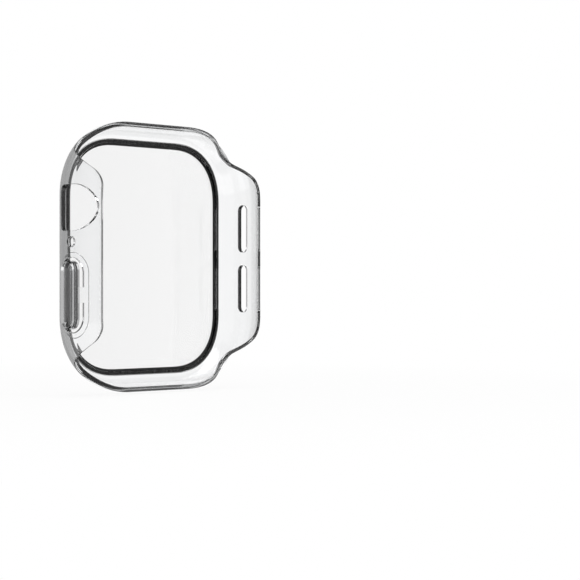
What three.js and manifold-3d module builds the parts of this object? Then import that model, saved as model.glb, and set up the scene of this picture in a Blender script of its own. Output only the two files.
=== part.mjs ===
// Clear bumper case for a rounded rectangular wrist device.
// Millimetres. X is the width, with the crown side at +X. Y is the depth, zero on the lens's inner
// face, with the open back at +Y. Z is the height, with the 12 o'clock end up.

import * as THREE from 'three';
import Module from 'manifold-3d';
import { mergeVertices } from 'three/addons/utils/BufferGeometryUtils.js';

const wasm = await Module();
wasm.setup();

// The device that the case fits
const deviceWidth = 39;
const deviceHeight = 46;
const deviceDepth = 9.7;
const deviceCornerRadius = 12.5;
const fitClearance = 0.43;

// The moulded wall, and the pocket, which narrows from its middle depth to its floor
const wall = 0.85;
const rimRadius = 4.1;
const midDepth = 5.23;
const pocketBow = 1.45;
const ledgeThickness = 0.42;
const ledgeWidth = 0.7;
const edgeRound = 0.2;

// The lens and the rim that frames it
const sideRim = 2.52;
const endRim = 2.83;
const lipWidth = 0.27;
const lipHeight = 0.12;
const lensThickness = 0.33;
const lensBevel = 0.08;
const lensGap = 0.1;
const borderWidth = 1.15;
const borderThickness = 0.08;
const bondThickness = 0.12;
const bondInset = 0.1;

// The end walls, which dip at the corners, and the two long wings
const endWallDepth = 4.6;
const cornerDepth = 2.6;
const dipReach = 4.2;
const dipMargin = 0.4;
const wingGrip = 0.88;
const wingInset = 1.8;
const wingEdgeThickness = 0.6;
const wingFoot = 18.6;
const wingFootFillet = 2.6;
const wingCornerRadius = 3.8;
const wingSideAngle = THREE.MathUtils.degToRad(65);

// The crown opening
const crownHeight = 8.43;
const crownHalfLength = 4.05;
const crownFront = 1.93;
const crownShoulder = 5.3;
const crownReach = 5.25;
const crownFrontBow = 0.35;
const crownFrontRound = 0.8;

// The microphone hole and the speaker slots
const micHeight = 2.46;
const micDiameter = 1.9;
const speakerLength = 9;
const speakerWidth = 2.2;
const speakerSpacing = 11.4;

// The side button, its slot and the tongue that carries it
const slotTop = -0.22;
const slotLength = 13.16;
const slotWidth = 6.06;
const slotGap = 0.6;
const buttonWidth = 3.75;
const buttonProud = 0.67;
const buttonEdge = 0.32;
const tongueHeight = 2.7;
const tongueGap = 0.3;
const reliefDepth = 0.25;
const reliefMargin = 1.1;

// Corner shapes and the number of facets
const casePower = 2.15;
const lensPower = 2.3;
const bowPower = 2.1;
const bowRowsShare = 0.6;
const largestCornerShare = 0.96;
const cornerSteps = 22;
const stationSpreadShare = 1.5;
const rimSteps = 7;
const bowSteps = 6;
const wallSteps = 6;
const roundSteps = 2;
const overrun = 2;

// Sizes worked out from those above
const cornerRadius = Math.min(deviceCornerRadius, largestCornerShare * deviceWidth / 2) + fitClearance + wall;
const caseOutline = {
  halfWidth: deviceWidth / 2 + fitClearance + wall,
  halfHeight: deviceHeight / 2 + fitClearance + wall,
  radius: cornerRadius,
  power: casePower,
};
const lensOutline = {
  halfWidth: caseOutline.halfWidth - sideRim,
  halfHeight: caseOutline.halfHeight - endRim,
  radius: cornerRadius - (sideRim + endRim) / 2,
  power: lensPower,
};
const lensFront = -lensThickness;
const lipFront = lensFront - lipHeight;
const borderBack = borderThickness;
const ledgeFront = borderBack + bondThickness;
const pocketFloor = ledgeFront + ledgeThickness;
const wingBack = pocketFloor + deviceDepth + wingGrip;
const curlRadius = ((wingBack - midDepth) ** 2 + wingInset ** 2) / (2 * wingInset);
const rimLand = sideRim - lensGap - lipWidth;
const rimCentre = lipFront + Math.sqrt(rimRadius ** 2 - (rimRadius - rimLand) ** 2);

// A rounded rectangle moved in on all sides.
function inset(outline, distance) {
  return {
    halfWidth: outline.halfWidth - distance,
    halfHeight: outline.halfHeight - distance,
    radius: outline.radius - distance,
    power: outline.power,
  };
}

// The stations round every outline: four corners, with the steps closest where the wings end.
const quadrants = [[1, 1], [-1, 1], [-1, -1], [1, -1]];
const stations = quadrants.flatMap(([sideX, sideZ]) => {
  const corner = [];
  for (let step = 0; step <= cornerSteps; step += 1) {
    const angle = (Math.PI / 2) * (step / cornerSteps) ** stationSpreadShare;
    corner.push({ sideX, sideZ, angle });
  }
  return sideX * sideZ > 0 ? corner : corner.reverse();
});

function stationPoint(outline, station, y) {
  const x = outline.halfWidth - outline.radius * (1 - Math.cos(station.angle) ** (2 / outline.power));
  const z = outline.halfHeight - outline.radius * (1 - Math.sin(station.angle) ** (2 / outline.power));
  return [station.sideX * x, y, station.sideZ * z];
}

// The depth of the wall's back edge at a height: wings along the sides, shallow walls at the ends,
// which are lowest where they turn the corners.
function backEdge(height) {
  const z = Math.abs(height);
  const slope = Math.tan(wingSideAngle);
  const halfTurn = Math.tan(wingSideAngle / 2);
  const reach = Math.sin(wingSideAngle);
  const cornerCentre = wingFoot - (wingBack - cornerDepth) / slope - wingCornerRadius * halfTurn;
  const footCentre = wingFoot + wingFootFillet * halfTurn;
  if (z <= cornerCentre) return wingBack;
  if (z >= footCentre) {
    const dipStart = caseOutline.halfHeight - dipReach;
    const rise = THREE.MathUtils.smoothstep(z, dipStart, caseOutline.halfHeight - dipMargin);
    return THREE.MathUtils.lerp(cornerDepth, endWallDepth, rise);
  }
  if (z < cornerCentre + wingCornerRadius * reach) {
    return wingBack - wingCornerRadius + Math.sqrt(wingCornerRadius ** 2 - (z - cornerCentre) ** 2);
  }
  if (z > footCentre - wingFootFillet * reach) {
    return cornerDepth + wingFootFillet - Math.sqrt(wingFootFillet ** 2 - (footCentre - z) ** 2);
  }
  return cornerDepth + (wingFoot - z) * slope;
}

// How far the outer face has curled in at a depth.
function curl(y) {
  if (y <= midDepth) return 0;
  return curlRadius - Math.sqrt(curlRadius ** 2 - (y - midDepth) ** 2);
}

// How thick the wall is at a depth: it thins along the wings and swells towards the pocket's floor.
function thickness(y) {
  if (y >= midDepth) {
    return THREE.MathUtils.lerp(wall, wingEdgeThickness, (y - midDepth) / (wingBack - midDepth));
  }
  const drop = Math.min((midDepth - y) / (midDepth - pocketFloor), 1);
  return wall + pocketBow * (1 - (1 - drop ** bowPower) ** (1 / bowPower));
}

// The frame's section at one station, once round, from the lip to the lens recess.
function frameSection(station) {
  const back = backEdge(stationPoint(caseOutline, station, 0)[2]);
  const section = [];
  const add = (outline, y) => section.push(stationPoint(outline, station, y));
  const addOuter = (offset, y) => add(inset(caseOutline, offset), y);

  add(inset(lensOutline, -lensGap), lipFront);
  const firstAngle = Math.asin((rimRadius - rimLand) / rimRadius);
  for (let step = 0; step <= rimSteps; step += 1) {
    const angle = THREE.MathUtils.lerp(firstAngle, Math.PI / 2, step / rimSteps);
    addOuter(rimRadius * (1 - Math.sin(angle)), rimCentre - rimRadius * Math.cos(angle));
  }
  const roundStart = back - edgeRound;
  for (let step = 1; step <= wallSteps; step += 1) {
    const y = THREE.MathUtils.lerp(rimCentre, roundStart, step / wallSteps);
    addOuter(curl(y), y);
  }
  const outerEdge = curl(roundStart);
  const innerEdge = outerEdge + thickness(roundStart);
  for (let step = 1; step <= roundSteps; step += 1) {
    const angle = (Math.PI / 2) * (step / roundSteps);
    addOuter(outerEdge + edgeRound * (1 - Math.cos(angle)), roundStart + edgeRound * Math.sin(angle));
  }
  for (let step = roundSteps; step >= 0; step -= 1) {
    const angle = (Math.PI / 2) * (step / roundSteps);
    addOuter(innerEdge - edgeRound * (1 - Math.cos(angle)), roundStart + edgeRound * Math.sin(angle));
  }
  const bowTop = Math.min(midDepth, THREE.MathUtils.lerp(pocketFloor, roundStart, bowRowsShare));
  for (let step = wallSteps - 1; step > 0; step -= 1) {
    const y = THREE.MathUtils.lerp(bowTop, roundStart, step / wallSteps);
    addOuter(curl(y) + thickness(y), y);
  }
  for (let step = 0; step <= bowSteps; step += 1) {
    const fall = Math.cos((Math.PI / 2) * (step / bowSteps)) ** (2 / bowPower);
    const y = THREE.MathUtils.lerp(pocketFloor, bowTop, fall);
    addOuter(curl(y) + thickness(y), y);
  }
  add(inset(lensOutline, ledgeWidth), pocketFloor);
  add(inset(lensOutline, ledgeWidth), ledgeFront);
  add(inset(lensOutline, -lensGap), ledgeFront);
  return section;
}

// A closed surface over a grid of points: columns go round the stations, rows round the section.
function loopedGrid(columns) {
  const rows = columns[0].length;
  const index = [];
  columns.forEach((column, i) => {
    const here = i * rows;
    const next = ((i + 1) % columns.length) * rows;
    for (let j = 0; j < rows; j += 1) {
      const after = (j + 1) % rows;
      index.push(here + j, here + after, next + j);
      index.push(next + j, here + after, next + after);
    }
  });
  return indexedGeometry(columns.flat(2), index);
}

// A closed solid through a few outlines, each an outline and a depth, from the front to the back.
function stackedOutlines(levels) {
  const columns = stations.map((station) => levels.map(([outline, y]) => stationPoint(outline, station, y)));
  const rows = levels.length;
  const positions = columns.flat(2);
  const frontCentre = columns.length * rows;
  const backCentre = frontCentre + 1;
  positions.push(0, levels[0][1], 0, 0, levels[rows - 1][1], 0);
  const index = [];
  columns.forEach((column, i) => {
    const here = i * rows;
    const next = ((i + 1) % columns.length) * rows;
    for (let j = 0; j < rows - 1; j += 1) {
      index.push(here + j, here + j + 1, next + j);
      index.push(next + j, here + j + 1, next + j + 1);
    }
    index.push(frontCentre, here, next);
    index.push(backCentre, next + rows - 1, here + rows - 1);
  });
  return indexedGeometry(positions, index);
}

function indexedGeometry(positions, index) {
  const geometry = new THREE.BufferGeometry();
  geometry.setAttribute('position', new THREE.Float32BufferAttribute(positions, 3));
  geometry.setIndex(index);
  return geometry;
}

// Joins and cuts
function solid(geometry) {
  const bare = geometry.clone();
  bare.deleteAttribute('normal');
  bare.deleteAttribute('uv');
  const merged = mergeVertices(bare);
  return new wasm.Manifold(new wasm.Mesh({
    numProp: 3,
    vertProperties: new Float32Array(merged.attributes.position.array),
    triVerts: new Uint32Array(merged.index.array),
  }));
}

function geometryOf(manifold) {
  const mesh = manifold.getMesh();
  return indexedGeometry(Array.from(mesh.vertProperties), Array.from(mesh.triVerts));
}

// A prism along X: the shape's own x is the depth and its own y is the height.
function prism(shape, fromX, toX, bevel = 0) {
  const geometry = new THREE.ExtrudeGeometry(shape, {
    depth: toX - fromX - 2 * bevel,
    curveSegments: cornerSteps / 2,
    bevelEnabled: bevel > 0,
    bevelSize: bevel,
    bevelThickness: bevel,
    bevelOffset: -bevel,
    bevelSegments: roundSteps,
  });
  geometry.translate(0, 0, fromX + bevel);
  const turn = new THREE.Matrix4().makeBasis(
    new THREE.Vector3(0, 1, 0),
    new THREE.Vector3(0, 0, 1),
    new THREE.Vector3(1, 0, 0),
  );
  return geometry.applyMatrix4(turn);
}

// A slot with round ends, standing along the height.
function stadium(centreDepth, centreHeight, length, width) {
  const radius = width / 2;
  const straight = length / 2 - radius;
  const shape = new THREE.Shape();
  shape.absarc(centreDepth, centreHeight + straight, radius, 0, Math.PI, false);
  shape.absarc(centreDepth, centreHeight - straight, radius, Math.PI, 2 * Math.PI, false);
  shape.closePath();
  return shape;
}

function rectangle(fromY, toY, fromZ, toZ) {
  const shape = new THREE.Shape();
  shape.moveTo(fromY, fromZ);
  shape.lineTo(toY, fromZ);
  shape.lineTo(toY, toZ);
  shape.lineTo(fromY, toZ);
  shape.closePath();
  return shape;
}

// The crown opening: a bowed front, short straight sides and an elliptical back.
function crownShape() {
  const side = crownFront + crownFrontBow + crownFrontRound;
  const shape = new THREE.Shape();
  shape.moveTo(side, crownHeight - crownHalfLength);
  shape.lineTo(crownShoulder, crownHeight - crownHalfLength);
  shape.absellipse(crownShoulder, crownHeight, crownReach, crownHalfLength, -Math.PI / 2, Math.PI / 2, false);
  shape.lineTo(side, crownHeight + crownHalfLength);
  shape.quadraticCurveTo(
    crownFront + crownFrontBow, crownHeight + crownHalfLength,
    crownFront + crownFrontBow / 2, crownHeight + crownHalfLength - crownFrontRound,
  );
  shape.quadraticCurveTo(
    crownFront - crownFrontBow / 2, crownHeight,
    crownFront + crownFrontBow / 2, crownHeight - crownHalfLength + crownFrontRound,
  );
  shape.quadraticCurveTo(
    crownFront + crownFrontBow, crownHeight - crownHalfLength,
    side, crownHeight - crownHalfLength,
  );
  return shape;
}

const cutInnerX = lensOutline.halfWidth - borderWidth;
const cutOuterX = caseOutline.halfWidth + overrun;
const slotCentre = slotTop - slotLength / 2;
const slotBack = midDepth + slotWidth / 2;
const buttonFront = midDepth - slotWidth / 2 + slotGap;
const buttonBack = buttonFront + buttonWidth;
const buttonOuterX = caseOutline.halfWidth + buttonProud;
const buttonDepth = (buttonFront + buttonBack) / 2;

// The C-shaped slot: all of the round-ended opening but the tongue.
function buttonSlot() {
  const opening = solid(prism(stadium(midDepth, slotCentre, slotLength, slotWidth), cutInnerX, cutOuterX));
  const tongue = rectangle(
    buttonBack + tongueGap,
    slotBack + overrun,
    slotCentre - tongueHeight / 2,
    slotCentre + tongueHeight / 2,
  );
  return opening.subtract(solid(prism(tongue, cutInnerX - overrun, cutOuterX + overrun)));
}

// The space inside the walls between two depths, with the walls made thinner by a relief.
function pocketSpace(front, back, relief) {
  const levels = [];
  for (let step = 0; step <= 2 * wallSteps; step += 1) {
    const y = THREE.MathUtils.lerp(front, back, step / (2 * wallSteps));
    levels.push([inset(caseOutline, curl(y) + thickness(y) - relief), y]);
  }
  return solid(stackedOutlines(levels));
}

// A shallow recess in the wing's inner face, round the slot, that follows the wing's curl.
function buttonRelief() {
  const length = slotLength + 2 * reliefMargin;
  const width = slotWidth + 2 * reliefMargin;
  const around = solid(prism(stadium(midDepth, slotCentre, length, width), cutInnerX, cutOuterX));
  return pocketSpace(midDepth - slotWidth / 2, wingBack, reliefDepth).intersect(around);
}

function speakerSlots() {
  return [-speakerSpacing / 2, speakerSpacing / 2].map((height) => {
    const shape = stadium(midDepth, height, speakerLength, speakerWidth);
    return solid(prism(shape, -cutOuterX, -cutInnerX));
  });
}

function bumperFrame() {
  const microphone = stadium(midDepth, micHeight, micDiameter, micDiameter);
  const cuts = [
    solid(prism(crownShape(), cutInnerX, cutOuterX)),
    solid(prism(microphone, cutInnerX, cutOuterX)),
    buttonSlot(),
    buttonRelief(),
    ...speakerSlots(),
  ];
  let frame = solid(loopedGrid(stations.map(frameSection)));
  for (const cut of cuts) frame = frame.subtract(cut);
  return geometryOf(frame);
}

// The pad that the finger presses: proud of the wing outside, and level with its inner face.
function sideButton() {
  const length = slotLength - 2 * slotGap;
  const pad = prism(stadium(buttonDepth, slotCentre, length, buttonWidth), cutInnerX, buttonOuterX, buttonEdge);
  return geometryOf(solid(pad).subtract(pocketSpace(pocketFloor, slotBack, 0)));
}

function lens() {
  return stackedOutlines([
    [inset(lensOutline, lensBevel), lensFront],
    [lensOutline, lensFront + lensBevel],
    [lensOutline, 0],
  ]);
}

// A flat ring behind the lens, between two insets of its outline and two depths.
function flatRing(outerInset, innerInset, front, back) {
  return loopedGrid(stations.map((station) => [
    stationPoint(inset(lensOutline, outerInset), station, front),
    stationPoint(inset(lensOutline, outerInset), station, back),
    stationPoint(inset(lensOutline, innerInset), station, back),
    stationPoint(inset(lensOutline, innerInset), station, front),
  ]));
}

const clearPlastic = new THREE.MeshStandardMaterial({
  color: 0xe9eef0, roughness: 0.06, metalness: 0, transparent: true, opacity: 0.35,
});
const clearGlass = new THREE.MeshStandardMaterial({
  color: 0xf1f3f3, roughness: 0.02, metalness: 0, transparent: true, opacity: 0.25,
});
const blackPrint = new THREE.MeshStandardMaterial({ color: 0x1c1c1e, roughness: 0.5, metalness: 0 });
const clearBond = new THREE.MeshStandardMaterial({
  color: 0xf4f4f0, roughness: 0.3, metalness: 0, transparent: true, opacity: 0.4,
});

const bumperCase = new THREE.Group();

function place(name, geometry, material) {
  geometry.computeVertexNormals();
  const mesh = new THREE.Mesh(geometry, material);
  mesh.name = name;
  bumperCase.add(mesh);
}

place('bumper_frame', bumperFrame(), clearPlastic);
place('side_button', sideButton(), clearPlastic);
place('lens', lens(), clearGlass);
place('lens_border', flatRing(0, borderWidth, 0, borderBack), blackPrint);
place('lens_bond', flatRing(bondInset, ledgeWidth - bondInset, borderBack, ledgeFront), clearBond);

export default bumperCase;
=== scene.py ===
"""A clear smartwatch bumper case, seen from its open back in a white studio."""

import math

import bmesh
import bpy
from mathutils import Matrix, Vector


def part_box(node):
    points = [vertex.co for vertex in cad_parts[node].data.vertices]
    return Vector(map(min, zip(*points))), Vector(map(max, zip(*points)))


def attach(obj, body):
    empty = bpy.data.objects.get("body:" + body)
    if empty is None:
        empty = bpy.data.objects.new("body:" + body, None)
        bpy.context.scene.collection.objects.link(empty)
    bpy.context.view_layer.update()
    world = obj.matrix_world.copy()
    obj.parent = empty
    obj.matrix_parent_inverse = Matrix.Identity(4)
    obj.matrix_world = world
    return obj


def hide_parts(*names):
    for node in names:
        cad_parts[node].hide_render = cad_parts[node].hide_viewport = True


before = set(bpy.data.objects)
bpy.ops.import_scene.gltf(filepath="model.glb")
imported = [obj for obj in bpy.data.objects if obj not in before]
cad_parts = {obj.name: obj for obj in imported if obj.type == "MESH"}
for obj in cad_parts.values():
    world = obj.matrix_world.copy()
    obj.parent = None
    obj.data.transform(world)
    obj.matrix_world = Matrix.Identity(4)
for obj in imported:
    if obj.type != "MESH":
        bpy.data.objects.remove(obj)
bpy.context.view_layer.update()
MM = 0.001

# Sizes in millimetres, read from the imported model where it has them
case_low, case_high = (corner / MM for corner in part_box("bumper_frame"))
lens_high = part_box("lens")[1] / MM
bond_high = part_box("lens_bond")[1] / MM
button_low, button_high = (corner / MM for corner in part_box("side_button"))

# The outlines of the case and of the lens
HALF_WIDTH = case_high.x
HALF_HEIGHT = case_high.z
CORNER_RADIUS = 13.78
CASE_POWER = 2.15
LENS_HALF_WIDTH = lens_high.x
LENS_HALF_HEIGHT = lens_high.z
LENS_INSET = 2.675
LENS_RADIUS = CORNER_RADIUS - LENS_INSET
LENS_POWER = 2.3

# The moulding's section: depths run from the lens's inner face towards the open back
WALL = 0.85
MID_DEPTH = 5.23
RIM_RADIUS = 4.1
RIM_LAND = 2.15
LIP_FRONT = case_low.y
POCKET_BOW = 1.45
POCKET_POWER = 2.1
LEDGE = 0.42
LEDGE_WIDTH = 0.7
LENS_GAP = 0.1
BORDER_WIDTH = 1.15
LEDGE_FRONT = bond_high.y
POCKET_FLOOR = LEDGE_FRONT + LEDGE
EDGE_ROUND = 0.2
OUTER_ROUND_AT_ENDS = 0.08

# The black ink laid on the wall of the gap round the lens as painted shade: its front at the corners, how
# much further forward it reaches at the sides and at the ends, the heights and widths between which that
# extra reach fades out, and the moulding's slot for it
PAINTED_SHADE_FRONT = -0.1
PAINTED_SHADE_MORE_AT_SIDES = 0.33
PAINTED_SHADE_MORE_AT_ENDS = 0.23
PAINTED_SHADE_SIDES_STOP = 14.0, 18.0
PAINTED_SHADE_ENDS_STOP = 7.2, 10.0
PAINTED_SHADE_SLOT = 1
UPRIGHT_BELOW = 0.1
HAIR = 0.001

# The back edge: end walls, corners and wings
END_WALL_DEPTH = 4.6
CORNER_DEPTH = 2.6
DIP_FROM, DIP_TO = HALF_HEIGHT - 4.2, HALF_HEIGHT - 0.4
WING_BACK = case_high.y
WING_INSET = 1.8
WING_EDGE = 0.6
WING_FOOT = 18.6
WING_FOOT_FILLET = 2.6
WING_CORNER_RADIUS = 3.8
WING_SIDE_ANGLE = math.radians(65)
CURL_RADIUS = ((WING_BACK - MID_DEPTH) ** 2 + WING_INSET ** 2) / (2 * WING_INSET)
RIM_CENTRE = LIP_FRONT + math.sqrt(RIM_RADIUS ** 2 - (RIM_RADIUS - RIM_LAND) ** 2)

# The openings
CROWN_HEIGHT = 8.43
CROWN_HALF_LENGTH = 4.05
CROWN_FRONT = 1.93
CROWN_SHOULDER = 5.3
CROWN_REACH = 5.25
CROWN_BOW = 0.35
CROWN_CORNER = 0.8
MIC_HEIGHT = 2.46
MIC_DEPTH = 4.78
MIC_DIAMETER = 1.9
SPEAKER_LENGTH = 9.0
SPEAKER_WIDTH = 2.2
SPEAKER_SPACING = 11.4
CUT_OVERRUN = 2

# The side button: its slot, the recess round that, the tongue and the pad
SLOT_CENTRE = (button_low.z + button_high.z) / 2
SLOT_LENGTH = 13.16
SLOT_WIDTH = 5.66
SLOT_DEPTH = 5.03
RELIEF_DEPTH = 0.2
RELIEF_MARGIN = 0.85
TONGUE_HEIGHT = 2.7
TONGUE_GAP = 0.3
BUTTON_EDGE = 0.32
PAD_SEAT = 0.15
PAD_LEAN = math.radians(5.8)

# Steps of the fine mesh, the distance at which its points are one, and the angles from which edges are crisp
CORNER_STEPS = 56
STATION_SPREAD = 1.35
RIM_STEPS = 18
WALL_STEPS = 16
ROUND_STEPS = 4
FLOOR_STEPS = 22
RELIEF_STEPS = 32
STADIUM_STEPS = 24
CROWN_STEPS = 40
CROWN_CORNER_STEPS = 8
BUTTON_EDGE_STEPS = 6
WELD_DISTANCE = 0.0001
MOULDING_CRISP_FROM = math.radians(35)
PAD_CRISP_FROM = math.radians(30)


def linear(code):
    """An sRGB hex colour as linear light."""
    channels = [int(code[i:i + 2], 16) / 255 for i in (1, 3, 5)]
    return [c / 12.92 if c <= 0.04045 else ((c + 0.055) / 1.055) ** 2.4 for c in channels] + [1.0]


# Outlines

def rounded(half_width, half_height, radius, power):
    """A rectangle with corners rounded as superellipses: power 2 is a circle's arc."""
    return {"width": half_width, "height": half_height, "radius": radius, "power": power}


def inset(outline, distance):
    """An outline moved inwards by a distance, or outwards by a negative one."""
    return rounded(outline["width"] - distance, outline["height"] - distance,
                   outline["radius"] - distance, outline["power"])


CASE = rounded(HALF_WIDTH, HALF_HEIGHT, CORNER_RADIUS, CASE_POWER)
LENS = rounded(LENS_HALF_WIDTH, LENS_HALF_HEIGHT, LENS_RADIUS, LENS_POWER)


def station_list():
    """Angles round the four corners, closest where the wings end."""
    stations = []
    for side_x, side_z in ((1, 1), (-1, 1), (-1, -1), (1, -1)):
        corner = [(side_x, side_z, math.pi / 2 * (i / CORNER_STEPS) ** STATION_SPREAD)
                  for i in range(CORNER_STEPS + 1)]
        stations += corner if side_x * side_z > 0 else corner[::-1]
    return stations


STATIONS = station_list()


def station_point(outline, station, y):
    """The point of an outline at a station, laid at a depth."""
    side_x, side_z, angle = station
    radius, bend = outline["radius"], 2 / outline["power"]
    x = outline["width"] - radius * (1 - abs(math.cos(angle)) ** bend)
    z = outline["height"] - radius * (1 - abs(math.sin(angle)) ** bend)
    return Vector((side_x * x, y, side_z * z)) * MM


def smooth_share(value, low, high):
    """How far a value has come from low to high, eased at both ends."""
    share = min(max((value - low) / (high - low), 0), 1)
    return share * share * (3 - 2 * share)


def back_edge(z):
    """The depth of the wall's back edge: wings along the sides, shallow walls at the ends and corners."""
    z = abs(z)
    slope = math.tan(WING_SIDE_ANGLE)
    half_turn = math.tan(WING_SIDE_ANGLE / 2)
    reach = math.sin(WING_SIDE_ANGLE)
    corner = WING_FOOT - (WING_BACK - CORNER_DEPTH) / slope - WING_CORNER_RADIUS * half_turn
    foot = WING_FOOT + WING_FOOT_FILLET * half_turn
    if z <= corner:
        return WING_BACK
    if z >= foot:
        return CORNER_DEPTH + (END_WALL_DEPTH - CORNER_DEPTH) * smooth_share(z, DIP_FROM, DIP_TO)
    if z < corner + WING_CORNER_RADIUS * reach:
        return WING_BACK - WING_CORNER_RADIUS + math.sqrt(WING_CORNER_RADIUS ** 2 - (z - corner) ** 2)
    if z > foot - WING_FOOT_FILLET * reach:
        return CORNER_DEPTH + WING_FOOT_FILLET - math.sqrt(WING_FOOT_FILLET ** 2 - (foot - z) ** 2)
    return CORNER_DEPTH + (WING_FOOT - z) * slope


def curl(y):
    """How far the outside leans in at a depth."""
    if y <= MID_DEPTH:
        return 0
    return CURL_RADIUS - math.sqrt(CURL_RADIUS ** 2 - (y - MID_DEPTH) ** 2)


def thickness(y):
    """The wall's thickness at a depth: it tapers along the wings and swells towards the pocket's floor."""
    if y >= MID_DEPTH:
        share = (y - MID_DEPTH) / (WING_BACK - MID_DEPTH)
        return WALL + (WING_EDGE - WALL) * share
    drop = min(max((MID_DEPTH - y) / (MID_DEPTH - POCKET_FLOOR), 0), 1)
    return WALL + POCKET_BOW * (1 - (1 - drop ** POCKET_POWER) ** (1 / POCKET_POWER))


def frame_section(station):
    """The moulding's section at one station, once round, from the lip to the lens recess."""
    back = back_edge(station_point(CASE, station, 0).z / MM)
    section = []

    def add(outline, y):
        section.append(station_point(outline, station, y))

    def turn(i, steps):
        return math.pi / 2 * i / steps

    add(inset(LENS, -LENS_GAP), LIP_FRONT)
    start = back - EDGE_ROUND
    first = math.asin((RIM_RADIUS - RIM_LAND) / RIM_RADIUS)
    for i in range(RIM_STEPS + 1):
        angle = first + (math.pi / 2 - first) * i / RIM_STEPS
        add(inset(CASE, RIM_RADIUS * (1 - math.sin(angle))), RIM_CENTRE - RIM_RADIUS * math.cos(angle))
    for i in range(1, WALL_STEPS + 1):
        y = RIM_CENTRE + (start - RIM_CENTRE) * i / WALL_STEPS
        add(inset(CASE, curl(y)), y)
    outer = curl(start)
    inner = outer + thickness(start)
    wing_share = smooth_share(back, END_WALL_DEPTH, WING_BACK)
    outer_round = OUTER_ROUND_AT_ENDS + (EDGE_ROUND - OUTER_ROUND_AT_ENDS) * wing_share
    for i in range(1, ROUND_STEPS + 1):
        angle = turn(i, ROUND_STEPS)
        add(inset(CASE, outer + outer_round * (1 - math.cos(angle))), start + EDGE_ROUND * math.sin(angle))
    for i in range(ROUND_STEPS, -1, -1):
        angle = turn(i, ROUND_STEPS)
        add(inset(CASE, inner - EDGE_ROUND * (1 - math.cos(angle))), start + EDGE_ROUND * math.sin(angle))
    top = min(start, MID_DEPTH)
    for i in range(WALL_STEPS - 1, 0, -1):
        y = top + (start - top) * i / WALL_STEPS
        add(inset(CASE, curl(y) + thickness(y)), y)
    for i in range(FLOOR_STEPS + 1):
        y = POCKET_FLOOR + (top - POCKET_FLOOR) * math.cos(turn(i, FLOOR_STEPS)) ** (2 / POCKET_POWER)
        add(inset(CASE, curl(y) + thickness(y)), y)
    add(inset(LENS, LEDGE_WIDTH), POCKET_FLOOR)
    add(inset(LENS, LEDGE_WIDTH), LEDGE_FRONT)
    add(inset(LENS, -LENS_GAP), LEDGE_FRONT)
    # How far forward the painted shade on the gap wall reaches, further at the sides and at the ends
    side_share = 1 - smooth_share(abs(section[0].z) / MM, *PAINTED_SHADE_SIDES_STOP)
    end_share = 1 - smooth_share(abs(section[0].x) / MM, *PAINTED_SHADE_ENDS_STOP)
    add(inset(LENS, -LENS_GAP), PAINTED_SHADE_FRONT - PAINTED_SHADE_MORE_AT_SIDES * side_share - PAINTED_SHADE_MORE_AT_ENDS * end_share)
    return section


# Mesh tools

def loop_through(bm, points):
    """A closed loop of edges through the points."""
    ring = bmesh.ops.create_circle(bm, segments=len(points), radius=1)["verts"]
    for vert, point in zip(ring, points):
        vert.co = point
    return list({edge for vert in ring for edge in vert.link_edges})


def ring_surface(name, sections):
    """A grid laid over closed sections that stand in a ring, and joined to itself both ways."""
    sections = sections + sections[:1]
    points = [point for section in sections for point in section + section[:1]]
    bm = bmesh.new()
    grid = bmesh.ops.create_grid(bm, x_segments=len(sections[0]), y_segments=len(sections) - 1, size=1)
    for vert, point in zip(grid["verts"], points):
        vert.co = point
    bmesh.ops.remove_doubles(bm, verts=bm.verts, dist=WELD_DISTANCE * MM)
    bmesh.ops.recalc_face_normals(bm, faces=bm.faces)
    return finished(name, bm)


def finished(name, bm):
    """The object made of a finished mesh."""
    mesh = bpy.data.meshes.new(name)
    bm.to_mesh(mesh)
    bm.free()
    piece = bpy.data.objects.new(name, mesh)
    bpy.context.scene.collection.objects.link(piece)
    return piece


def shaded(piece, crisp_from):
    """Smooth shading, with the edges sharper than an angle kept crisp."""
    piece.data.shade_smooth()
    piece.data.set_sharp_from_angle(angle=crisp_from)


def cut(piece, cutter, operation="DIFFERENCE"):
    """Cuts one solid with another, which is used up."""
    modifier = piece.modifiers.new("cut", "BOOLEAN")
    modifier.operation = operation
    modifier.object = cutter
    modifier.solver = "EXACT"
    applied = bpy.data.meshes.new_from_object(piece.evaluated_get(bpy.context.evaluated_depsgraph_get()))
    piece.modifiers.clear()
    piece.data = applied
    bpy.data.objects.remove(cutter)


def prism(name, outline, from_x, to_x):
    """A solid along X over an outline of depth and height points."""
    bm = bmesh.new()
    loop = loop_through(bm, [Vector((from_x, y, z)) * MM for y, z in outline])
    bmesh.ops.contextual_create(bm, geom=loop)
    end = bmesh.ops.extrude_face_region(bm, geom=bm.faces[:])
    moved = [item for item in end["geom"] if isinstance(item, bmesh.types.BMVert)]
    bmesh.ops.translate(bm, verts=moved, vec=Vector((to_x - from_x, 0, 0)) * MM)
    bmesh.ops.recalc_face_normals(bm, faces=bm.faces)
    return finished(name, bm)


def stadium(depth, height, length, width):
    """An outline with straight sides along Z and round ends."""
    radius = width / 2
    straight = length / 2 - radius
    points = []
    for end in (0, 1):
        middle = height + straight * (1 - 2 * end)
        for i in range(STADIUM_STEPS + 1):
            angle = math.pi * (end + i / STADIUM_STEPS)
            points.append((depth + radius * math.cos(angle), middle + radius * math.sin(angle)))
    return points


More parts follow.
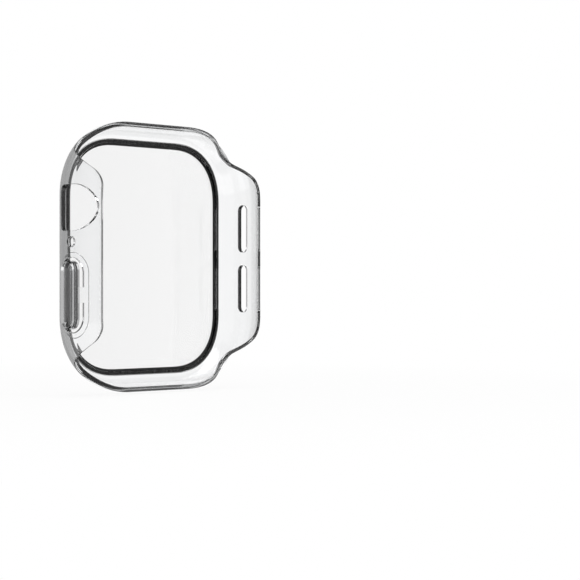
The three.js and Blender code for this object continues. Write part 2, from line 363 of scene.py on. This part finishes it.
def crown_outline():
    """The crown opening: half an ellipse towards the back, and a bowed front edge with soft corners."""
    points = []
    for i in range(CROWN_STEPS + 1):
        angle = -math.pi / 2 + math.pi * i / CROWN_STEPS
        points.append((CROWN_SHOULDER + CROWN_REACH * math.cos(angle),
                       CROWN_HEIGHT + CROWN_HALF_LENGTH * math.sin(angle)))
    corner = CROWN_FRONT + CROWN_BOW
    side = corner + CROWN_CORNER
    outermost, innermost = CROWN_FRONT + CROWN_BOW / 2, CROWN_FRONT - CROWN_BOW / 2

    def curve(start, bend, end):
        for i in range(1, CROWN_CORNER_STEPS + 1):
            t = i / CROWN_CORNER_STEPS
            points.append(tuple((1 - t) ** 2 * p + 2 * t * (1 - t) * q + t * t * r
                                for p, q, r in zip(start, bend, end)))

    top, bottom = CROWN_HEIGHT + CROWN_HALF_LENGTH, CROWN_HEIGHT - CROWN_HALF_LENGTH
    points.append((side, top))
    curve((side, top), (corner, top), (outermost, top - CROWN_CORNER))
    curve((outermost, top - CROWN_CORNER), (innermost, CROWN_HEIGHT), (outermost, bottom + CROWN_CORNER))
    curve((outermost, bottom + CROWN_CORNER), (corner, bottom), (side, bottom))
    return points


def button_relief(inside, outside):
    """A shallow recess in the wing's inner face, round the slot, that follows the wing's curl."""
    front = SLOT_DEPTH - SLOT_WIDTH / 2
    sections = []
    for station in STATIONS:
        section = [station_point(inset(CASE, HALF_WIDTH - inside), station, y) for y in (WING_BACK, front)]
        for i in range(RELIEF_STEPS + 1):
            y = front + (WING_BACK - front) * i / RELIEF_STEPS
            section.append(station_point(inset(CASE, curl(y) + thickness(y) - RELIEF_DEPTH), station, y))
        sections.append(section)
    outline = stadium(SLOT_DEPTH, SLOT_CENTRE,
                      SLOT_LENGTH + 2 * RELIEF_MARGIN, SLOT_WIDTH + 2 * RELIEF_MARGIN)
    relief = prism("relief_cut", outline, inside, outside)
    cut(relief, ring_surface("relief_space", sections), "INTERSECT")
    return relief


def build_frame():
    """The clear moulding, with its openings cut through the sides."""
    piece = ring_surface("clear_moulding", [frame_section(station) for station in STATIONS])
    inside, outside = LENS_HALF_WIDTH - BORDER_WIDTH, HALF_WIDTH + CUT_OVERRUN
    cut(piece, button_relief(inside, outside))
    cut(piece, prism("crown_cut", crown_outline(), inside, outside))
    microphone = stadium(MIC_DEPTH, MIC_HEIGHT, MIC_DIAMETER, MIC_DIAMETER)
    cut(piece, prism("microphone_cut", microphone, inside, outside))
    # The slot goes round a tongue of the wall that carries the button
    slot = prism("slot_cut", stadium(SLOT_DEPTH, SLOT_CENTRE, SLOT_LENGTH, SLOT_WIDTH), inside, outside)
    tongue_front = button_high.y + TONGUE_GAP
    tongue_back = MID_DEPTH + SLOT_WIDTH
    low, high = SLOT_CENTRE - TONGUE_HEIGHT / 2, SLOT_CENTRE + TONGUE_HEIGHT / 2
    tongue = [(tongue_front, low), (tongue_back, low), (tongue_back, high), (tongue_front, high)]
    cut(slot, prism("tongue", tongue, inside - CUT_OVERRUN, outside + CUT_OVERRUN))
    cut(piece, slot)
    for side in (-1, 1):
        outline = stadium(MID_DEPTH, side * SPEAKER_SPACING / 2, SPEAKER_LENGTH, SPEAKER_WIDTH)
        cut(piece, prism("speaker_cut", outline, -outside, -inside))
    shaded(piece, MOULDING_CRISP_FROM)
    return piece


def build_pad():
    """The pad of the side button: full-round ends, a soft outer edge and a leaning inner face."""
    depth, height = (button_low.y + button_high.y) / 2, (button_low.z + button_high.z) / 2
    outline = stadium(depth, height, button_high.z - button_low.z, button_high.y - button_low.y)
    piece = prism("clear_button_pad", outline, HALF_WIDTH - WALL + PAD_SEAT, button_high.x)
    bm = bmesh.new()
    bm.from_mesh(piece.data)
    inner = min(bm.faces, key=lambda item: item.calc_center_median().x)
    lean = Matrix.Identity(4)
    lean[0][1] = math.tan(PAD_LEAN)
    to_hinge = Matrix.Translation((0, button_high.y * MM, 0))
    bmesh.ops.transform(bm, matrix=to_hinge @ lean @ to_hinge.inverted(), verts=inner.verts)
    face = max(bm.faces, key=lambda item: item.calc_center_median().x)
    bmesh.ops.bevel(bm, geom=list(face.edges), offset=BUTTON_EDGE * MM, offset_type="OFFSET",
                    segments=BUTTON_EDGE_STEPS, profile=0.5, affect="EDGES", material=-1)
    bm.to_mesh(piece.data)
    bm.free()
    shaded(piece, PAD_CRISP_FROM)
    weighted = piece.modifiers.new("flat faces stay flat", "WEIGHTED_NORMAL")
    weighted.keep_sharp = True
    return piece


# Materials

def node(tree, kind, options=None, values=None, links=None):
    """Adds one node with its options, its values and its links."""
    added = tree.nodes.new(kind)
    for key, value in (options or {}).items():
        setattr(added, key, value)
    for key, value in (values or {}).items():
        added.inputs[key].default_value = value
    for key, source in (links or {}).items():
        tree.links.new(source, added.inputs[key])
    return added


def new_material(name, **values):
    """A material with its tree and shader, and the shader's values set by name."""
    material = bpy.data.materials.new(name)
    material.use_nodes = True
    shader = material.node_tree.nodes["Principled BSDF"]
    for key, value in values.items():
        shader.inputs[key.replace("_", " ")].default_value = value
    return material, material.node_tree, shader


def clear_polycarbonate():
    """Clear polycarbonate, injection moulded in a polished tool.

    Its faces are bright as glass, with a slow waviness where the melt shrank and a breath of haze in places.
    Where the light runs deep through it, it takes on a grey cast."""
    material, tree, shader = new_material("clear moulded polycarbonate", IOR=1.585, Transmission_Weight=1.0)
    place = node(tree, "ShaderNodeTexCoord").outputs["Object"]
    # Shrinkage waves of the thin walls, about 7 mm from crest to crest
    waves = node(tree, "ShaderNodeTexNoise", values={"Scale": 1 / (7 * MM), "Detail": 1.0, "Roughness": 0.4},
                 links={"Vector": place})
    # Flow haze in patches of about 4 mm
    haze = node(tree, "ShaderNodeTexNoise", values={"Scale": 1 / (4 * MM), "Detail": 4.0, "Roughness": 0.6},
                links={"Vector": place})
    tint = node(tree, "ShaderNodeMix", {"data_type": "RGBA"}, {6: linear("#FFFFFF"), 7: linear("#FAFBFC")},
                {"Factor": haze.outputs["Fac"]})
    polish = node(tree, "ShaderNodeMapRange",
                  values={"From Min": 0.55, "From Max": 0.85, "To Min": 0.0, "To Max": 0.03},
                  links={"Value": haze.outputs["Fac"]})
    # Edges left by the tool's inserts are 0.12 mm soft
    softened = node(tree, "ShaderNodeBevel", {"samples": 8}, {"Radius": 0.12 * MM})
    surface = node(tree, "ShaderNodeBump", values={"Strength": 1.0, "Distance": 0.012 * MM},
                   links={"Height": waves.outputs["Fac"], "Normal": softened.outputs["Normal"]})
    tree.links.new(tint.outputs[2], shader.inputs["Base Color"])
    tree.links.new(polish.outputs["Result"], shader.inputs["Roughness"])
    tree.links.new(surface.outputs["Normal"], shader.inputs["Normal"])
    # It takes about 1.5 percent of the light in each millimetre
    inside = node(tree, "ShaderNodeVolumeAbsorption", values={"Color": linear("#8C9094"), "Density": 20})
    tree.links.new(inside.outputs["Volume"], tree.nodes["Material Output"].inputs["Volume"])
    return material


def tempered_glass():
    """Tempered cover glass, ground flat, polished and coated against finger marks.

    It is all but invisible, with a faint grey cast and a trace of unevenness in the coating. Alpha lets most
    of the picture's white straight through, so that it stays clear from every side."""
    material, tree, shader = new_material("polished tempered glass", IOR=1.52, Transmission_Weight=1.0,
                                          Alpha=0.16)
    place = node(tree, "ShaderNodeTexCoord").outputs["Object"]
    # The sprayed coating's patches, about 9 mm across
    coating = node(tree, "ShaderNodeTexNoise",
                   values={"Scale": 1 / (9 * MM), "Detail": 3.0, "Roughness": 0.55}, links={"Vector": place})
    tint = node(tree, "ShaderNodeMix", {"data_type": "RGBA"}, {6: linear("#F4F4F4"), 7: linear("#F0F1F2")},
                {"Factor": coating.outputs["Fac"]})
    polish = node(tree, "ShaderNodeMapRange",
                  values={"From Min": 0.45, "From Max": 0.8, "To Min": 0.0, "To Max": 0.02},
                  links={"Value": coating.outputs["Fac"]})
    tree.links.new(tint.outputs[2], shader.inputs["Base Color"])
    tree.links.new(polish.outputs["Result"], shader.inputs["Roughness"])
    return material


def black_print_and_painted_shade():
    """Black ceramic ink, screen printed on the glass and fired; the same ink is laid on the moulding's gap
    wall as painted shade.

    It is opaque and satin, with the fine grain that the screen leaves and slightly denser patches."""
    material, tree, shader = new_material("black screen print and painted shade", IOR=1.5)
    place = node(tree, "ShaderNodeTexCoord").outputs["Object"]
    # The screen's threads are 0.06 mm apart, too fine to show, so the grain is drawn at 0.25 mm
    grain = node(tree, "ShaderNodeTexNoise",
                 values={"Scale": 1 / (0.25 * MM), "Detail": 2.0, "Roughness": 0.6}, links={"Vector": place})
    # Squeegee passes, in bands of about 3 mm
    passes = node(tree, "ShaderNodeTexNoise", values={"Scale": 1 / (3 * MM), "Detail": 2.0},
                  links={"Vector": place})
    print_ink_and_painted_shade = node(tree, "ShaderNodeMix", {"data_type": "RGBA"}, {6: linear("#131314"), 7: linear("#1B1B1C")},
               {"Factor": passes.outputs["Fac"]})
    satin = node(tree, "ShaderNodeMapRange",
                 values={"From Min": 0.3, "From Max": 0.7, "To Min": 0.34, "To Max": 0.46},
                 links={"Value": grain.outputs["Fac"]})
    relief = node(tree, "ShaderNodeBump", values={"Strength": 0.5, "Distance": 0.004 * MM},
                  links={"Height": grain.outputs["Fac"]})
    tree.links.new(print_ink_and_painted_shade.outputs[2], shader.inputs["Base Color"])
    tree.links.new(satin.outputs["Result"], shader.inputs["Roughness"])
    tree.links.new(relief.outputs["Normal"], shader.inputs["Normal"])
    return material


def clear_adhesive():
    """Clear acrylic transfer tape, rolled on and pressed flat.

    It is clear with a soft sheen, and slightly uneven where it wets the plastic."""
    material, tree, shader = new_material("clear acrylic adhesive", IOR=1.47, Transmission_Weight=1.0)
    place = node(tree, "ShaderNodeTexCoord").outputs["Object"]
    # Wetted patches of about 0.8 mm
    wetting = node(tree, "ShaderNodeTexNoise",
                   values={"Scale": 1 / (0.8 * MM), "Detail": 2.0, "Roughness": 0.6}, links={"Vector": place})
    tint = node(tree, "ShaderNodeMix", {"data_type": "RGBA"}, {6: linear("#F6F6F4"), 7: linear("#ECECE8")},
                {"Factor": wetting.outputs["Fac"]})
    sheen = node(tree, "ShaderNodeMapRange",
                 values={"From Min": 0.3, "From Max": 0.7, "To Min": 0.06, "To Max": 0.2},
                 links={"Value": wetting.outputs["Fac"]})
    ripple = node(tree, "ShaderNodeBump", values={"Strength": 0.4, "Distance": 0.01 * MM},
                  links={"Height": wetting.outputs["Fac"]})
    tree.links.new(tint.outputs[2], shader.inputs["Base Color"])
    tree.links.new(sheen.outputs["Result"], shader.inputs["Roughness"])
    tree.links.new(ripple.outputs["Normal"], shader.inputs["Normal"])
    return material


def dress(piece, *materials):
    """Gives a piece its materials in place of those that it has."""
    piece.data.materials.clear()
    for material in materials:
        piece.data.materials.append(material)


# The case
plastic, print_ink_and_painted_shade = clear_polycarbonate(), black_print_and_painted_shade()
moulding = build_frame()
# The moulding's second slot holds the black ink that is used as painted shade in the gap round the lens
dress(moulding, plastic, print_ink_and_painted_shade)
# Painted shade: the black ink is laid on the wall of the gap round the lens's ground edge, nearly all of it
# at the sides, to make the dark streaks seen through the rim
for face in moulding.data.polygons:
    depths = [moulding.data.vertices[corner].co.y / MM for corner in face.vertices]
    in_gap = LIP_FRONT + HAIR < min(depths) < max(depths) < LEDGE_FRONT + HAIR
    if in_gap and abs(face.normal.y) < UPRIGHT_BELOW:
        face.material_index = PAINTED_SHADE_SLOT
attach(moulding, "case")
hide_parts("bumper_frame")

pad = build_pad()
dress(pad, plastic)
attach(pad, "button")
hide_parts("side_button")

dress(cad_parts["lens"], tempered_glass())
dress(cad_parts["lens_border"], print_ink_and_painted_shade)
dress(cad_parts["lens_bond"], clear_adhesive())


# The studio: light levels of the room, the floor's half size in metres, its distance below the case and its
# shadow's reach in millimetres, and the lamp in metres and watts
ROOM_LIGHT = 0.5
CARD_GREY = 0.38
BAND_GREY = 0.15
FLOOR_HALF_SIZE = 2.0
FLOOR_DROP = 0.5
SHADOW_FROM, SHADOW_TO = 40, 150
LAMP_PLACE = 0.1, 0.3, 0.7
LAMP_SIZE = 0.6
LAMP_WATTS = 3


def spread(degrees):
    """The dot product of two directions that stand at an angle."""
    return math.cos(math.radians(degrees))


# The level directions of the room's panels
PANEL_WAYS = {
    "to backdrop": (-0.669, -0.743, 0),
    "to tall card": (-0.052, -0.999, 0),
    "to low card": (0.469, -0.883, 0),
}
# By what each panel is measured, where it starts and where it is full, and the light before and beyond
PANELS = {
    "backdrop": ("to backdrop", spread(28), spread(17), ROOM_LIGHT, 1.0),
    "table": ("height", -0.08, -0.16, ROOM_LIGHT, 1.0),
    "tall card": ("to tall card", spread(24), spread(16), 1.0, CARD_GREY),
    "low card": ("to low card", spread(20), spread(14), 1.0, CARD_GREY),
    "above the low card": ("steepness", 0.1, 0.16, 0.0, 1.0),
    "steep": ("steepness", 0.52, 0.61, 1.0, BAND_GREY),
    "upright": ("steepness", 0.78, 0.86, 0.0, 1.0),
}


def plane(name, half_size, height, material):
    """A level square of the studio."""
    bm = bmesh.new()
    bmesh.ops.create_grid(bm, x_segments=1, y_segments=1, size=half_size)
    bmesh.ops.translate(bm, verts=bm.verts, vec=Vector((0, 0, height)))
    piece = finished(name, bm)
    piece.data.materials.append(material)
    return piece


def area_light(name, place, size, watts):
    """A square lamp that faces the case."""
    data = bpy.data.lights.new(name, "AREA")
    data.shape = "SQUARE"
    data.size = size
    data.energy = watts
    lamp = bpy.data.objects.new(name, data)
    lamp.location = place
    lamp.rotation_euler = (-Vector(place)).to_track_quat("-Z", "Y").to_euler()
    bpy.context.scene.collection.objects.link(lamp)


def studio_world():
    """A room at half light: a white table, a white backdrop straight behind the case, and two grey cards.

    A dark band runs steeply above and below. Clear plastic and glass show the room. The camera itself sees
    plain white."""
    world = bpy.data.worlds.new("white studio")
    bpy.context.scene.world = world
    world.use_nodes = True
    tree = world.node_tree
    way_seen = node(tree, "ShaderNodeTexCoord").outputs["Generated"]
    part = node(tree, "ShaderNodeSeparateXYZ", links={0: way_seen})
    flat = node(tree, "ShaderNodeCombineXYZ", links={0: part.outputs["X"], 1: part.outputs["Y"]})
    level = node(tree, "ShaderNodeVectorMath", {"operation": "NORMALIZE"},
                 links={0: flat.outputs["Vector"]})
    steepness = node(tree, "ShaderNodeMath", {"operation": "ABSOLUTE"}, links={0: part.outputs["Z"]})
    measures = {"height": part.outputs["Z"], "steepness": steepness.outputs[0]}
    for name, way in PANEL_WAYS.items():
        measures[name] = node(tree, "ShaderNodeVectorMath", {"operation": "DOT_PRODUCT"}, {1: way},
                              {0: level.outputs[0]}).outputs["Value"]
    shares = {}
    for panel, (measure, start, end, before, beyond) in PANELS.items():
        shares[panel] = node(tree, "ShaderNodeMapRange", {"interpolation_type": "SMOOTHSTEP"},
                             {"From Min": start, "From Max": end, "To Min": before, "To Max": beyond},
                             {"Value": measures[measure]}).outputs["Result"]
    paths = node(tree, "ShaderNodeLightPath").outputs
    shares["glossy"], shares["clear"] = paths["Is Glossy Ray"], paths["Is Transmission Ray"]
    # A card takes light away from the room, and the low card ends where the wall above it starts
    for result, first, operation, second in (
            ("low card", "low card", "MAXIMUM", "above the low card"),
            ("high and low", "steep", "MAXIMUM", "upright"),
            ("room", "backdrop", "MAXIMUM", "table"),
            ("room", "room", "MINIMUM", "tall card"),
            ("room", "room", "MINIMUM", "low card"),
            ("room", "room", "MINIMUM", "high and low"),
            ("shown in glass", "glossy", "MAXIMUM", "clear")):
        shares[result] = node(tree, "ShaderNodeMath", {"operation": operation},
                              links={0: shares[first], 1: shares[second]}).outputs[0]
    # All other surfaces get the room's even light, and the camera sees white
    seen = node(tree, "ShaderNodeMapRange", values={"To Min": ROOM_LIGHT},
                links={"Value": shares["shown in glass"], "To Max": shares["room"]})
    strength = node(tree, "ShaderNodeMath", {"operation": "MAXIMUM"},
                    links={0: seen.outputs["Result"], 1: paths["Is Camera Ray"]})
    background = tree.nodes["Background"]
    background.inputs["Color"].default_value = linear("#FFFFFF")
    tree.links.new(strength.outputs[0], background.inputs["Strength"])


def floor_material():
    """White studio paper. The camera sees mostly its own white, and a faint shadow stays near the case."""
    material, tree, shader = new_material("white studio paper", Base_Color=linear("#FFFFFF"), Roughness=0.9)
    glow = node(tree, "ShaderNodeEmission", values={"Color": linear("#FFFFFF"), "Strength": 1.0})
    place = node(tree, "ShaderNodeTexCoord").outputs["Object"]
    distance = node(tree, "ShaderNodeVectorMath", {"operation": "LENGTH"}, links={0: place})
    # The shadow fades out between these distances from the case
    own_white = node(tree, "ShaderNodeMapRange", {"interpolation_type": "SMOOTHSTEP"},
                     {"From Min": SHADOW_FROM * MM, "From Max": SHADOW_TO * MM, "To Min": 0.9, "To Max": 1.0},
                     {"Value": distance.outputs["Value"]})
    seen_by_camera = node(tree, "ShaderNodeLightPath").outputs["Is Camera Ray"]
    share = node(tree, "ShaderNodeMath", {"operation": "MULTIPLY"},
                 links={0: own_white.outputs[0], 1: seen_by_camera})
    mix = node(tree, "ShaderNodeMixShader",
               links={"Fac": share.outputs[0], 1: shader.outputs["BSDF"], 2: glow.outputs["Emission"]})
    tree.links.new(mix.outputs["Shader"], tree.nodes["Material Output"].inputs["Surface"])
    return material


studio_world()
floor = plane("floor", FLOOR_HALF_SIZE, (case_low.z - FLOOR_DROP) * MM, floor_material())
# The clear pieces show the room's table in place of the floor
floor.visible_transmission = False
floor.visible_glossy = False
area_light("soft top", LAMP_PLACE, LAMP_SIZE, LAMP_WATTS)

# The camera: level, at 45 degrees to the open back on the crown side, in millimetres and pixels
FOCAL_PIXELS = 1706.3
PICTURE_PIXELS = 580
SENSOR = 36.0
EYE = 203.42, 241.49, -5.94
right = Vector((-1, 1, 0)).normalized()
up = Vector((0, 0, 1))
camera_data = bpy.data.cameras.new("camera")
camera_data.sensor_width = SENSOR
camera_data.lens = FOCAL_PIXELS / PICTURE_PIXELS * SENSOR
camera = bpy.data.objects.new("camera", camera_data)
turn = Matrix((right, up, right.cross(up))).transposed()
camera.matrix_world = Matrix.Translation(Vector(EYE) * MM) @ turn.to_4x4()
bpy.context.scene.collection.objects.link(camera)
bpy.context.scene.camera = camera

bpy.context.scene.view_settings.view_transform = "Standard"
